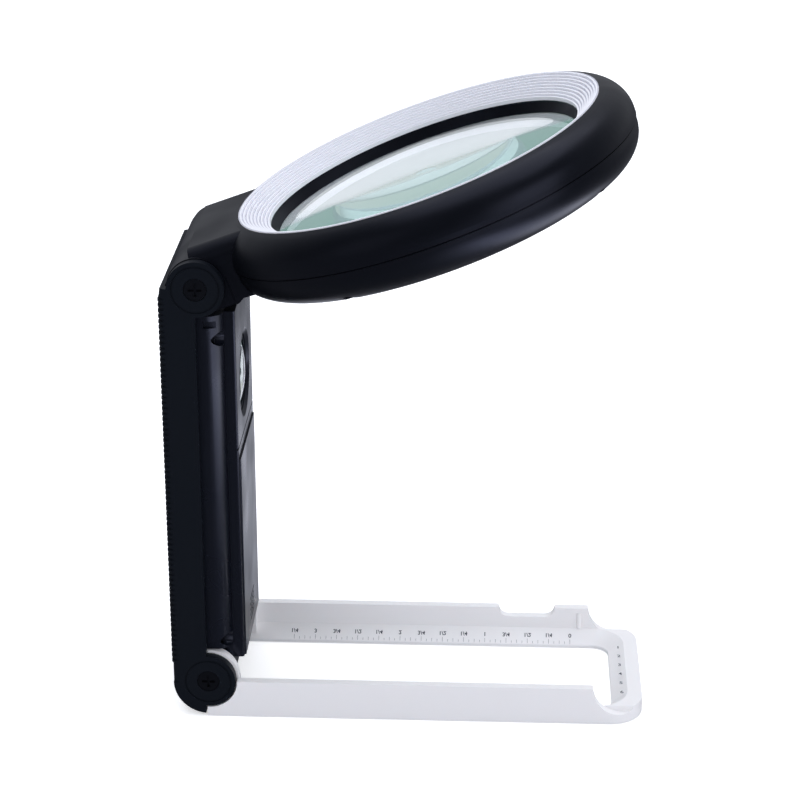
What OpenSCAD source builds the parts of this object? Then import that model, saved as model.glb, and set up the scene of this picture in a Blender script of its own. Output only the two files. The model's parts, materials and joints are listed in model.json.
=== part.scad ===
// Folding illuminated hand lens on a fold-out stand frame.
// The base hinge runs along Y. The handle stands up along Z and the head leans forward over the frame.
// Origin: table level, at the middle of the whole instrument's footprint box.

/* [Stand frame] */
// Width across the outside of the frame's two side walls
frame_w = 52.6; // [50:0.2:60]
// Distance from the base hinge to the outside of the crossbar
frame_len = 122.2; // [121:0.2:128]
// Height of the side walls
frame_h = 10.8; // [10:0.1:10.8]
// Thickness of the side walls
frame_wall = 2.6; // [2.2:0.1:3.2]
// Width of the sloping ruler flange inside each side wall
flange_w = 4.4; // [3.6:0.1:4.4]
// Height of the flange where it meets the wall
flange_root = 4.3; // [3.4:0.1:5]
// Thickness of the flange at its inner edge
flange_edge = 0.9; // [0.6:0.1:1.4]
// Width of the crossbar at the front
crossbar_w = 8.4; // [7:0.1:9]
// Plan radius of the frame's two front corners
corner_r = 9.5; // [7:0.5:11]
// Length of the switch notch in the far wall
notch_len = 16.7; // [14:0.1:18]
// Depth of the switch notch
notch_depth = 3.0; // [2:0.1:3.4]

/* [Hinges] */
// Height of the base hinge axis above the table
hinge_h = 10.8; // [10.6:0.1:12]
// Distance between the base hinge and the head hinge
hinge_gap = 116; // [115:0.5:118]
// Radius of the handle's round ears
ear_r = 7.7; // [7:0.1:8]
// Thickness of each ear
ear_t = 2.6; // [2.2:0.1:3]
// Radius of the frame's hinge hubs
hub_r = 8.3; // [7.8:0.1:8.4]
// Thickness of each frame hub
hub_t = 2.8; // [2.2:0.1:3.4]
// Radius of the neck barrel on the head
barrel_r = 7.9; // [7.6:0.1:8.3]
// Shank radius of the hinge screws
pin_r = 1.5; // [1.2:0.1:1.8]
// Head radius of the hinge screws
pin_head_r = 3.0; // [2.6:0.1:3.4]
// Length of thread that a hinge screw sinks into a barrel
pin_bite = 5; // [3:0.5:8]
// Radial running clearance of a hinge screw
pin_fit = 0.05; // [0.02:0.01:0.1]
// Radius of the washers inside the ears
washer_r = 4.9; // [4:0.1:5.4]
// Thickness of the washers
washer_t = 0.6; // [0.4:0.1:0.8]
// Side play between the leaves of a hinge
side_play = 0.3; // [0.25:0.05:0.5]

/* [Handle] */
// Depth of the handle behind the hinge line, at the crown of its back
back_d = 10.2; // [9.8:0.1:10.4]
// Rise of the crown across the back
back_crown = 0.3; // [0.2:0.1:1]
// Radius of the back's vertical edges
back_edge_r = 2.2; // [1.6:0.1:3.6]
// Radius of the curl's edges at the foot of the back
curl_edge_r = 1.0; // [0.6:0.1:3]
// Depth of the front face in front of the hinge line
front_d = 9.5; // [9.3:0.1:9.7]
// Width of the raised front block
block_w = 37.9; // [37:0.1:38]
// Depth at which the shoulder ends and the block begins
shoulder_d = 6.45; // [6:0.05:6.8]
// Radius of the shoulder
shoulder_r = 4.15; // [3.4:0.05:4.2]
// Wall thickness of the two handle shells
shell_t = 1.6; // [1.2:0.1:1.6]
// Pitch of the grip ribs on the back
rib_pitch = 1.55; // [1.4:0.05:3]
// Height of the grip ribs
rib_h = 0.35; // [0.2:0.05:0.5]
// Distance of the latch slot above the base hinge
latch_s = 105.2; // [104:0.1:106.5]
// Head radius of the screws that close the handle and the head
screw_head_r = 1.6; // [1.4:0.1:1.8]
// Height of those screws' heads
screw_head_h = 1.2; // [1:0.1:1.6]
// Shank radius of those screws
screw_r = 0.95; // [0.8:0.05:1.1]
// Length of those screws under the head
screw_len = 8.5; // [7.5:0.5:9]

/* [Battery bay] */
// Diameter of one cell
cell_d = 10.4; // [10:0.1:10.5]
// Length of one cell
cell_len = 44.5; // [43:0.1:45]
// Width of a battery contact
contact_w = 8; // [7:0.2:9]
// Radius of a contact spring's first turn
spring_r = 2.4; // [2:0.1:3]
// Radius of the spring wire
wire_r = 0.4; // [0.3:0.05:0.5]
// Height of the door above its lower edge
door_h = 60; // [58:0.2:62]
// Width of the door
door_w = 35.2; // [34:0.2:35.4]
// Thickness of the door
door_t = 1.6; // [1.2:0.1:2]
// How far the door stands proud of the block
door_proud = 0.45; // [0.2:0.05:0.7]
// Clearance round the door
door_gap = 0.2; // [0.1:0.05:0.4]

/* [Small lens] */
// Height of the small lens above the base hinge
small_lens_s = 83.2; // [82:0.2:85]
// Diameter of the small lens
small_lens_d = 21; // [18:0.5:21.5]
// Diameter of the dish round it
dish_d = 25; // [23.5:0.5:26]
// Depth of the dish
dish_depth = 1.4; // [1.2:0.1:2.6]
// Thickness of the small lens at its edge
small_lens_edge = 1.6; // [1.2:0.1:2]
// Bulge of each face of the small lens
small_lens_sag = 1.9; // [1.4:0.1:2.2]

/* [Switch] */
// Height of the switch above the base hinge, at the middle of its travel
switch_s = 89.55; // [88:0.1:91]
// Length of the switch knob
knob_len = 8; // [7:0.2:9]
// Travel of the switch knob
knob_travel = 4; // [2:0.2:5]

/* [Head] */
// Tilt of the head above level
head_tilt = 20.2; // [12:0.1:40]
// Distance from the head hinge to the head's outer edge
neck_len = 6.5; // [6:0.1:9]
// Height of the head's upper rim above the head hinge
rim_n = 10; // [9.6:0.1:10.4]
// Outer radius of the head
head_r = 58.2; // [58:0.1:60]
// Depth of the head from its upper rim to its underside
head_depth = 19.9; // [19.4:0.1:21]
// Depth of the parting line below the upper rim
part_depth = 10.1; // [9.8:0.1:10.6]
// Edge radius of the upper shell
upper_edge_r = 8.8; // [8:0.1:9.2]
// Edge radius of the lower shell
lower_edge_r = 8.0; // [7:0.1:8.4]
// Wall thickness of the head shells
head_shell_t = 2.0; // [1.6:0.1:2.2]
// Width of the black rim outside the light ring
rim_w = 7.1; // [6.8:0.1:7.8]
// Width of the white light ring
ring_w = 7.3; // [7:0.05:8.2]
// Width of the black lip between the ring and the clear opening
lip_w = 1.6; // [0.9:0.05:1.9]
// Depth of that lip below the ring's funnel
lip_depth = 4.0; // [3.2:0.1:4.2]
// Depth of the light ring's funnel
light_ring_depth = 4.9; // [4.6:0.1:5.6]
// Number of steps in the funnel
light_ring_steps = 9; // [6:1:10]
// Thickness of the light ring
light_ring_t = 1.4; // [1:0.1:1.6]
// Thickness of the light ring at its inner edge
light_ring_edge = 0.55; // [0.4:0.05:1]
// How far the big lens reaches under the lip
lens_hold = 1.8; // [1.5:0.1:2.1]
// Thickness of the big lens at its edge
lens_edge = 2.0; // [1.6:0.1:2.4]
// Bulge of each face of the big lens
lens_sag = 5.2; // [3:0.1:5.8]
// Thickness of the white liner below the big lens
liner_t = 1.05; // [0.8:0.05:1.3]
// Height of the neck's top above the head hinge
neck_top = 9.5; // [9:0.1:9.8]
// Depth of the neck's underside below the head hinge
neck_under = 8.2; // [8:0.1:8.8]
// Number of LEDs round the head
led_count = 8; // [6:1:12]

/* [Hidden] */
$fn = 96;

black = "#17181b";
white = "#ebebf2";
clear = "#cfe6dd";
steel = "#a9adb2";

// Widths from the middle plane outward
half_w = frame_w / 2;
ear_in = half_w - ear_t;
hub_out = ear_in - side_play;
hub_in = hub_out - hub_t;
knuckle_half = hub_in - side_play;
barrel_half = ear_in - side_play;
core_half = half_w - frame_wall - 0.35;
top_h = hinge_h + hinge_gap;
mid_x = (frame_len - back_d - rib_h) / 2;
eps = 0.01;

// Everything is drawn from the base hinge line and then moved to the footprint's middle
module placed() {
    translate([-mid_x, 0, 0]) children();
}

// Extrudes an X-Z outline across Y
module across(y0, y1) {
    translate([0, y1, 0]) rotate([90, 0, 0]) linear_extrude(y1 - y0) children();
}

// Cylinder along Y at (x, z)
module y_rod(r, x, z, y0, y1) {
    translate([x, y0, z]) rotate([-90, 0, 0]) cylinder(r = r, h = y1 - y0);
}

// Cylinder along X at (y, z)
module x_rod(r, x0, x1, y, z) {
    translate([x0, y, z]) rotate([0, 90, 0]) cylinder(r = r, h = x1 - x0);
}

module mirrored_y() {
    children();
    mirror([0, 1, 0]) children();
}

// Box given by its two corners
module span(x, y, z) {
    translate([x[0], y[0], z[0]]) cube([x[1] - x[0], y[1] - y[0], z[1] - z[0]]);
}

// Rectangle with rounded corners, from squares and circles so that its arcs stay true
module round_rect(x0, y0, x1, y1, r) {
    translate([x0 + r, y0]) square([x1 - x0 - 2 * r, y1 - y0]);
    translate([x0, y0 + r]) square([x1 - x0, y1 - y0 - 2 * r]);
    for (x = [x0 + r, x1 - r])
        for (y = [y0 + r, y1 - r])
            translate([x, y]) circle(r = r);
}

// ---- Stand frame ----

arc_gap = 0.4;
ear_arc_r = ear_r + arc_gap;
crossbar_in = frame_len - crossbar_w;
hole_half = half_w - frame_wall - flange_w;
hole_r = 5;
foot_end = hub_r + 0.3;
notch_mid = switch_s;

// Plan of the frame without its opening
module frame_plan() {
    translate([-0.4, -half_w]) square([hinge_gap - 4 + 0.4, frame_w]);
    round_rect(frame_len - 30, -half_w, frame_len, half_w, corner_r);
}

// Plan of the opening, grown by g
module hole_plan(g) {
    round_rect(foot_end - g - 20, -hole_half - g, crossbar_in + g, hole_half + g, hole_r + g);
}

// Sloping floor that runs down to the opening
module frame_floor() {
    slope_w = flange_w;
    difference() {
        linear_extrude(flange_root) frame_plan();
        hull() {
            translate([0, 0, flange_edge]) linear_extrude(eps) hole_plan(0, $fn = 32);
            translate([0, 0, flange_root + eps]) linear_extrude(eps) hole_plan(slope_w, $fn = 32);
        }
        translate([0, 0, -1]) linear_extrude(frame_h) hole_plan(0);
    }
}

module base_frame() {
    color(white) placed() difference() {
        union() {
            frame_floor();
            mirrored_y() {
                // Side wall
                span([-0.4, hinge_gap - 4], [half_w - frame_wall, half_w], [0, frame_h]);
                // Hinge hub inside the handle's ear, with its foot
                y_rod(hub_r, 0, hinge_h, hub_in, hub_out);
                span([-0.4, foot_end], [hub_in, half_w - frame_wall + eps], [0, frame_h]);
                // Latch rib that snaps into the handle's side slot
                translate([latch_s, half_w - frame_wall + 0.35, flange_root])
                    cylinder(r = 0.8, h = 5, $fn = 32);
            }
        }
        mirrored_y() {
            // Room for the ear and for the head hinge's ear when the stand is folded
            y_rod(ear_arc_r, 0, hinge_h, hub_out, half_w + 1);
            y_rod(ear_arc_r, hinge_gap, hinge_h, ear_in - 0.1, half_w + 1);
            // Bore for the hinge screw
            y_rod(pin_r + pin_fit, 0, hinge_h, hub_in - 1, hub_out + 1);
        }
        // Notch that clears the switch knob
        for (x = [-1, 1])
            y_rod(notch_depth, notch_mid + x * (notch_len / 2 - notch_depth), frame_h,
                half_w - frame_wall - 1, half_w + 1);
        span([notch_mid - notch_len / 2 + notch_depth, notch_mid + notch_len / 2 - notch_depth],
            [half_w - frame_wall - 1, half_w + 1], [frame_h - notch_depth, frame_h + 1]);
    }
}

// ---- Handle ----

seam_x = -0.3;
lip_x = -2.2;
core_bottom = hinge_h + hub_r + 0.5;
core_top = top_h - barrel_r - 0.5;
block_bottom = hinge_h + 4.2;
shoulder_x = shoulder_d - shoulder_r;
shoulder_y = core_half - shoulder_r;
block_half = block_w / 2;
back_in = -back_d + shell_t;
curl_h = back_d + 0.05;
hub_room = hub_r + 0.6;
curl_x = -0.9;
crown_r = (core_half * core_half + back_crown * back_crown) / (2 * back_crown);
small_lens_h = hinge_h + small_lens_s;
small_lens_x = front_d - dish_depth - small_lens_edge - 0.45;
switch_h = hinge_h + switch_s;
switch_x = -0.6;
boss_y = core_half - 2.25;
boss_h = [core_bottom + 2.3, top_h - 15.2];
screw_y = boss_y - 0.3;
screw_seat = 3.0;
boss_r = 2.1;
door_top = block_bottom + door_h;
door_half = door_w / 2;
door_out = front_d + door_proud;
bay_floor = core_bottom + shell_t;
bay_top = bay_floor + cell_len + 7.4;
bay_half = 1.5 * cell_d + 0.6;
cell_x = door_out - door_t - 0.5 - cell_d / 2;
bay_back = cell_x - cell_d / 2 - 0.3;
cell_floor = bay_floor + 1.0;

// Plan section of the front shell's core, drawn in by g: x forward, y across
module core_section(g) {
    r = shoulder_r - g;
    translate([lip_x, g - core_half]) square([shoulder_x - lip_x, 2 * (core_half - g)]);
    translate([lip_x, -shoulder_y]) square([shoulder_d - g - lip_x, 2 * shoulder_y]);
    for (y = [-shoulder_y, shoulder_y]) translate([shoulder_x, y]) circle(r = r);
}

// Plan section of the raised block, drawn in by g
module block_section(g) {
    round_rect(lip_x, g - block_half, front_d - g, block_half - g, 0.7);
}

// Plan section of the handle's full-width back, drawn in by g at the back and by side at the sides
module back_section(g, side, edge = back_edge_r) {
    r = max(edge - g, 0.6);
    flat = half_w - side - r;
    intersection() {
        translate([crown_r - back_d + g, 0]) circle(r = crown_r, $fn = 1440);
        union() {
            round_rect(-back_d + g + back_crown - 0.05, side - half_w, 12, half_w - side, r);
            translate([-back_d - 1, -flat]) square([back_d + 5, 2 * flat]);
        }
        translate([-back_d - 1, -half_w - 1]) square([back_d + 1 + seam_x, frame_w + 2]);
    }
}

// Full-width back of the handle, whose rounded edges run on round the curl at its foot
module back_body() {
    difference() {
        translate([0, 0, curl_h]) linear_extrude(top_h - curl_h + 0.2) back_section(0, 0);
        // Top edge leans in behind the neck barrel
        across(-half_w - 1, half_w + 1) polygon([[-back_d - 1, top_h - 4.5], [-back_d, top_h - 4.5],
            [-back_d + 0.8, top_h + 1], [-back_d - 1, top_h + 1]]);
    }
    intersection() {
        translate([0, 0, curl_h]) rotate([-90, 0, 0]) rotate_extrude() mirror([1, 0, 0])
            back_section(0, 0, curl_edge_r);
        span([-20, curl_x], [-half_w, half_w], [-5, curl_h + 0.01]);
    }
}

module ear_discs() {
    mirrored_y() for (h = [hinge_h, top_h]) y_rod(ear_r, 0, h, ear_in, half_w);
}

// Plan section of one grip rib, which wraps round both edges of the back
module rib_section() {
    difference() {
        intersection() {
            back_section(-rib_h, -rib_h);
            translate([-20, 0.02 - half_w]) square([20, frame_w - 0.04]);
        }
        back_section(0.3, 0.3);
    }
}

module grip_ribs() {
    first = hinge_h + 5.5;
    count = floor((hinge_gap - 6) / rib_pitch);
    difference() {
        for (i = [0 : count - 1])
            translate([0, 0, first + i * rib_pitch]) linear_extrude(rib_pitch / 2) rib_section();
        x_rod(small_lens_d / 2 + 2.4, -back_d - 2, 0, 0, small_lens_h);
    }
}

// Column that takes a handle screw
module screw_boss(h) {
    intersection() {
        x_rod(boss_r + 0.2, back_in - 0.2, lip_x, screw_y, h);
        span([-20, 20], [0, core_half - 0.1], [0, 200]);
    }
}

module rear_shell() {
    color(black) placed() difference() {
        union() {
            difference() {
                back_body();
                // Hollow for the works and for the neck barrel
                translate([0, 0, hinge_h]) linear_extrude(hinge_gap + 20) back_section(shell_t, ear_t);
                y_rod(hub_room, 0, hinge_h, -ear_in, ear_in);
                y_rod(barrel_r + 0.35, 0, top_h, -ear_in, ear_in);
            }
            ear_discs();
            grip_ribs();
            // Ledge that the front shell seats against
            mirrored_y()
                span([-5, lip_x], [core_half - 1.5, ear_in + eps], [core_bottom + 0.4, core_top]);
            // Lower hinge knuckle and the webs that carry it
            y_rod(6.9, 0, hinge_h, -knuckle_half, knuckle_half);
            for (y = [-18.6, -9.3, 0, 9.3, 18.6])
                span([-back_d + 1, -1], [y - 1, y + 1], [hinge_h - 4, hinge_h + 6.5]);
            // Columns for the screws that hold the shells together
            mirrored_y() for (h = boss_h) screw_boss(h);
            // Rear sleeve of the small lens
            x_rod(small_lens_d / 2 + 1.2, back_in - 0.3, -4.2, 0, small_lens_h);
        }
        x_rod(small_lens_d / 2 - 0.6, -back_d - 2, 0, 0, small_lens_h);
        // Flare at the back of the small lens
        translate([-back_d - 0.6, 0, small_lens_h]) rotate([0, 90, 0])
            cylinder(r1 = small_lens_d / 2 + 1.6, r2 = small_lens_d / 2 - 0.6, h = 2.2);
        mirrored_y() {
            for (h = [hinge_h, top_h]) {
                y_rod(pin_r + pin_fit, 0, h, ear_in - 1, half_w + 1);
                y_rod(pin_head_r + 0.15, 0, h, half_w - 1.1, half_w + 1);
                y_rod(washer_r + 0.1, 0, h, ear_in - 1, ear_in + washer_t - 0.1);
                // Ring turned into the ear's face
                difference() {
                    y_rod(6.6, 0, h, half_w - 0.25, half_w + 1);
                    y_rod(6.1, 0, h, half_w - 1, half_w + 2);
                }
            }
            y_rod(pin_r + pin_fit, 0, hinge_h, knuckle_half - pin_bite - 0.5, knuckle_half + 1);
            for (h = boss_h) x_rod(screw_r, -8, 3, screw_y, h);
        }
        // Slot for the switch knob
        span([switch_x - 1.3, 3], [ear_in - 1, half_w + 1],
            [switch_h - 1.6 - knob_travel / 2 - 0.4, switch_h + 1.6 + knob_travel / 2 + 0.4]);
        // Room for the frame's hinge hubs
        mirrored_y() y_rod(hub_r + 0.4, 0, hinge_h, knuckle_half, ear_in);
    }
}

module dish_cut() {
    x_rod(small_lens_d / 2 + 0.8, front_d - dish_depth, front_d + 1, 0, small_lens_h);
    translate([front_d + 0.05, 0, small_lens_h]) rotate([0, -90, 0])
        cylinder(r1 = dish_d / 2 + 0.05, r2 = small_lens_d / 2 + 0.8, h = 0.9);
    x_rod(small_lens_d / 2 + 0.05, small_lens_x - 0.02, front_d, 0, small_lens_h);
    x_rod(small_lens_d / 2 - 0.6, -9, front_d, 0, small_lens_h);
    // Seat that follows the lens's rear face
    translate([small_lens_x - 0.02, 0, small_lens_h]) rotate([0, 90, 0]) rotate_extrude()
        lens_half(small_lens_d / 2 + 0.05, small_lens_edge + 0.04, small_lens_sag);
}

module front_shell() {
    color(black) placed() difference() {
        union() {
            difference() {
                union() {
                    translate([0, 0, core_bottom]) linear_extrude(core_top - core_bottom) {
                        core_section(0);
                        block_section(0);
                    }
                    // Nose of the block that comes down in front of the lower knuckle
                    intersection() {
                        translate([0, 0, block_bottom]) linear_extrude(20) block_section(0);
                        across(-30, 30) polygon([[6.1, block_bottom], [20, block_bottom],
                            [20, core_bottom + 2], [3, core_bottom + 2], [3, core_bottom]]);
                    }
                }
                translate([0, 0, bay_floor]) linear_extrude(core_top - shell_t - bay_floor) {
                    core_section(shell_t);
                    block_section(shell_t);
                }
            }
            // Walls of the battery bay
            span([bay_back - 1.2, front_d - 0.2], [-bay_half - 1.2, bay_half + 1.2],
                [bay_floor - 0.4, bay_top + 1.2]);
            // Columns that meet the rear shell's screw columns
            mirrored_y() for (h = boss_h) intersection() {
                x_rod(boss_r + 0.6, lip_x, shoulder_d - 0.4, screw_y, h);
                translate([0, 0, core_bottom]) linear_extrude(core_top - core_bottom) core_section(0);
            }
            // Sleeve that carries the small lens
            x_rod(small_lens_d / 2 + 1.2, -4.2, front_d - 0.5, 0, small_lens_h);
        }
        dish_cut();
        // Bay, open to the front
        span([bay_back, front_d + 2], [-bay_half, bay_half], [bay_floor, bay_top]);
        // Seat for the sliding door
        span([door_out - door_t, front_d + 2], [-door_half - door_gap, door_half + door_gap],
            [block_bottom - 1, door_top + door_gap]);
        // Groove across the face above the door
        span([front_d - 0.5, front_d + 1], [-block_half - 1, block_half + 1],
            [door_top + 3.1, door_top + 3.7]);
        mirrored_y() {
            for (h = boss_h) {
                x_rod(screw_r + 0.15, lip_x - 1, 8, screw_y, h);
                x_rod(screw_head_r + 0.5, screw_seat, 9, boss_y, h);
            }
            // Slot that the frame's latch rib snaps into
            span([1.4, 5.9], [core_half - 0.9, core_half + 1], [hinge_h + latch_s - 0.95, hinge_h + latch_s + 0.95]);
            // Room for the frame's hinge hubs
            y_rod(hub_r + 0.4, 0, hinge_h, knuckle_half, ear_in + 1);
        }
        // Way for the switch knob's stem
        span([lip_x - 1, switch_x + 1.3], [core_half - 3, half_w],
            [switch_h - 1.6 - knob_travel / 2 - 0.4, switch_h + 1.6 + knob_travel / 2 + 0.4]);
    }
}

module battery_door() {
    color(black) placed() union() {
        x0 = door_out - door_t + 0.1;
        difference() {
            translate([0, 0, block_bottom]) linear_extrude(door_h)
                round_rect(x0, -door_half, door_out, door_half, 0.6);
            // Thumb grooves
            for (i = [0 : 4])
                span([door_out - 0.35, door_out + 1], [-5, 5],
                    [block_bottom + 4 + i * 1.6, block_bottom + 4.7 + i * 1.6]);
        }
    }
}

module small_lens() {
    color(clear) placed() translate([small_lens_x, 0, small_lens_h]) rotate([0, 90, 0]) rotate_extrude()
        lens_half(small_lens_d / 2, small_lens_edge, small_lens_sag);
}

// Half section of a lens with radius r, edge e and bulge s on both faces, standing on its edge's lower corner
module lens_half(r, e, s) {
    big = (r * r + s * s) / (2 * s);
    intersection() {
        translate([0, e + s - big]) circle(r = big, $fn = 512);
        translate([0, big - s]) circle(r = big, $fn = 512);
        translate([0, -s - 1]) square([r, e + 2 * s + 2]);
    }
}

// Snap ring whose foot follows the lens's face
module small_lens_ring() {
    color(black) placed() translate([small_lens_x, 0, small_lens_h]) rotate([0, 90, 0])
        rotate_extrude() difference() {
            translate([small_lens_d / 2 - 0.9, small_lens_edge]) square([0.85, 0.9]);
            translate([0, 0.04]) lens_half(small_lens_d / 2, small_lens_edge, small_lens_sag);
        }
}

module battery_cells() {
    color("#3c6e5a") placed() for (i = [-1 : 1]) {
        up = i == 0 ? 1 : 0;
        translate([cell_x, i * cell_d, cell_floor + up * (cell_len + 0.0)]) mirror([0, 0, up]) {
            translate([0, 0, 1]) cylinder(r = cell_d / 2 - 0.05, h = cell_len - 1);
            cylinder(r = 1.9, h = 1.2);
        }
    }
}

module cell_springs() {
    z = cell_floor + cell_len;
    h = bay_top - 0.5 - z;
    color(steel) placed() for (i = [-1 : 1])
        for (k = [0 : 3])
            translate([cell_x, i * cell_d, z + wire_r + k * (h - 2 * wire_r) / 3])
                rotate_extrude($fn = 32) translate([spring_r + 0.75 * wire_r * k, 0])
                    circle(r = wire_r, $fn = 16);
}

module cell_contacts() {
    color(steel) placed() for (i = [-1 : 1]) {
        x = [cell_x - contact_w / 2, cell_x + contact_w / 2];
        y = [i * cell_d - contact_w / 2, i * cell_d + contact_w / 2];
        span(x, y, [bay_top - 0.5, bay_top]);
        span(x, y, [cell_floor - 0.4, cell_floor]);
        span([cell_x - contact_w * 3 / 8, cell_x + contact_w * 3 / 8], [i * cell_d - 0.6, i * cell_d + 0.6],
            [bay_floor, cell_floor - 0.4]);
    }
}

module switch_knob() {
    z = switch_h - knob_travel / 2;
    color(black) placed() difference() {
        union() {
            translate([switch_x, half_w + 0.15, z]) rotate([-90, 0, 0]) linear_extrude(1.1)
                round_rect(-2.2, -knob_len / 2, 2.2, knob_len / 2, 0.8);
            span([switch_x - 1, switch_x + 1], [ear_in - 2.9, half_w + 0.5], [z - 1.5, z + 1.5]);
        }
        for (i = [-2 : 2])
            span([switch_x - 3, switch_x + 3], [half_w + 0.85, half_w + 2],
                [z + i * 1.4 - 0.35, z + i * 1.4 + 0.35]);
    }
}

module switch_body() {
    color(steel) placed() difference() {
        span([switch_x - 3.4, switch_x + 2.8], [ear_in - 8.4, ear_in - 2], [switch_h - 6.5, switch_h + 6.5]);
        span([switch_x - 1.4, switch_x + 1.4], [ear_in - 3.4, ear_in],
            [switch_h - 1.6 - knob_travel / 2 - 0.4, switch_h + 1.6 + knob_travel / 2 + 0.4]);
    }
}

// Screw along +Z with its head's top at z = 0 and a cross recess
module screw(head_r, head_h, shank_r, len) {
    difference() {
        union() {
            translate([0, 0, -head_h]) cylinder(r = head_r, h = head_h);
            translate([0, 0, -head_h - len]) cylinder(r = shank_r, h = len + eps);
        }
        for (a = [0, 90]) rotate([0, 0, a])
            translate([-head_r * 0.6, -head_r * 0.12, -head_h * 0.55])
                cube([head_r * 1.2, head_r * 0.24, head_h]);
    }
}

module handle_screws() {
    color(steel) placed() mirrored_y() for (h = boss_h)
        translate([screw_seat + screw_head_h, screw_y, h]) rotate([0, 90, 0])
            screw(screw_head_r, screw_head_h, screw_r, screw_len);
}

module hinge_screws(h, len) {
    color(steel) placed() mirrored_y()
        translate([0, half_w - 0.1, h]) rotate([-90, 0, 0]) screw(pin_head_r, 1, pin_r, len);
}

module base_hinge_screws() {
    hinge_screws(hinge_h, half_w - 1.1 - knuckle_half + pin_bite);
}

module head_hinge_screws() {
    hinge_screws(top_h, half_w - 1.1 - barrel_half + pin_bite + 2);
}

module hinge_washers() {
    color(steel) placed() mirrored_y() for (h = [hinge_h, top_h]) difference() {
        y_rod(washer_r, 0, h, ear_in - 0.1, ear_in + washer_t - 0.1);
        y_rod(pin_r + 0.1, 0, h, ear_in - 1, ear_in + 1);
    }
}

// ---- Head ----

head_reach = head_r + neck_len;
light_ring_r = head_r - rim_w;
light_ring_in = light_ring_r - ring_w;
lens_clear = light_ring_in - lip_w;
lens_r = lens_clear + lens_hold;
neck_split = rim_n - part_depth;
neck_start = barrel_r + 0.5;
neck_end = neck_len + 7.5;
neck_top_end = neck_len + 10;
deck_in = light_ring_in;
lens_top = -light_ring_depth - lip_depth;
lens_low = lens_top - lens_edge;
lens_big = (lens_r * lens_r + lens_sag * lens_sag) / (2 * lens_sag);
lens_face = lens_low + lens_big - lens_sag - sqrt(lens_big * lens_big - lens_clear * lens_clear);
pocket_r = lens_r + 0.1;
inner_wall_r = lens_r + 1.6;
cavity_r = head_r - head_shell_t;
window_in = lens_clear + 2.2;
window_out = head_r - 0.3 - lower_edge_r - 0.5;
window_t = 1.0;
board_h = -14.6;
low_r = head_r - 0.3;
screw_ring_r = head_r - 5.6;
head_screw_seat = 2.8;
led_ring_r = (window_in + window_out) / 2;
liner_r = lens_clear + liner_t;
screw_angles = [35, 115, 245, 325];

// Frame of the tilted head: x along the disc from the hinge, z square to it
module in_head() {
    placed() translate([0, 0, top_h]) rotate([0, -head_tilt, 0]) children();
}

// Frame at the middle of the head's upper rim
module at_rim() {
    translate([head_reach, 0, rim_n]) children();
}

// Everything above the light ring's back face, grown outward by g and lowered by d
module over_deck(g, d) {
    low = -light_ring_depth - light_ring_edge - d;
    polygon([[0, 2], [light_ring_r + g, 2], [light_ring_r + g, -light_ring_t - d],
        [deck_in - 0.05, low], [0, low]]);
}

// Room for the big lens between its two seats
module lens_pocket() {
    translate([0, lens_low - 0.02]) lens_half(pocket_r, lens_edge + 0.04, lens_sag);
}

module upper_profile() {
    difference() {
        union() {
            translate([0, -part_depth]) square([head_r - upper_edge_r, part_depth]);
            translate([0, -part_depth]) square([head_r, part_depth - upper_edge_r]);
            intersection() {
                translate([head_r - upper_edge_r, -upper_edge_r]) circle(r = upper_edge_r);
                translate([0, -part_depth]) square([head_r, part_depth]);
            }
        }
        over_deck(0.1, 0.05);
        polygon([[0, 0], [deck_in, 0], [deck_in, -light_ring_depth - 1], [lens_clear, lens_top], [0, lens_top]]);
        lens_pocket();
        translate([0, -20]) square([pocket_r, 20 + lens_low]);
        // Hollow of the upper shell
        difference() {
            union() {
                translate([inner_wall_r, -20])
                    square([cavity_r - inner_wall_r, 20 - upper_edge_r]);
                intersection() {
                    translate([head_r - upper_edge_r, -upper_edge_r]) circle(r = upper_edge_r - head_shell_t);
                    translate([inner_wall_r, -upper_edge_r - eps]) square([head_r, upper_edge_r]);
                }
                translate([inner_wall_r, -upper_edge_r - eps])
                    square([head_r - upper_edge_r - inner_wall_r, upper_edge_r - head_shell_t]);
            }
            over_deck(1.6, 1.5);
        }
    }
}

module lower_profile() {
    depth = head_depth - part_depth;
    difference() {
        union() {
            translate([0, -head_depth]) square([low_r - lower_edge_r, depth]);
            translate([0, -head_depth + lower_edge_r]) square([low_r - 0.4, depth - lower_edge_r]);
            translate([0, -head_depth + lower_edge_r]) square([low_r, depth - lower_edge_r - 0.4]);
            intersection() {
                translate([low_r - lower_edge_r, -head_depth + lower_edge_r]) circle(r = lower_edge_r);
                translate([0, -head_depth]) square([head_r, lower_edge_r]);
            }
        }
        translate([0, -30]) square([liner_r + 0.03, 30]);
        translate([0, lens_low]) square([pocket_r, 5]);
        lens_pocket();
        // Hollow of the lower shell
        translate([inner_wall_r, -head_depth + lower_edge_r])
            square([cavity_r - inner_wall_r, 20]);
        translate([inner_wall_r, -head_depth + head_shell_t])
            square([low_r - lower_edge_r - inner_wall_r, 20]);
        intersection() {
            translate([low_r - lower_edge_r, -head_depth + lower_edge_r])
                circle(r = lower_edge_r - head_shell_t + 0.3);
            translate([inner_wall_r, -head_depth]) square([head_r, lower_edge_r + eps]);
        }
        // Seat of the LED window
        translate([window_in - 0.1, -head_depth - 1])
            square([window_out - window_in + 0.2, 1 + window_t]);
    }
}

// Side outline of the neck's lower half, which steps up behind the hinge
module neck_foot() {
    low = -neck_under;
    polygon([[neck_start, neck_split], [neck_start, low], [neck_start + 0.8, low + 0.15],
        [neck_start + 2.4, low + 1.1], [neck_end, low + 0.9], [neck_end, neck_split]]);
}

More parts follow.
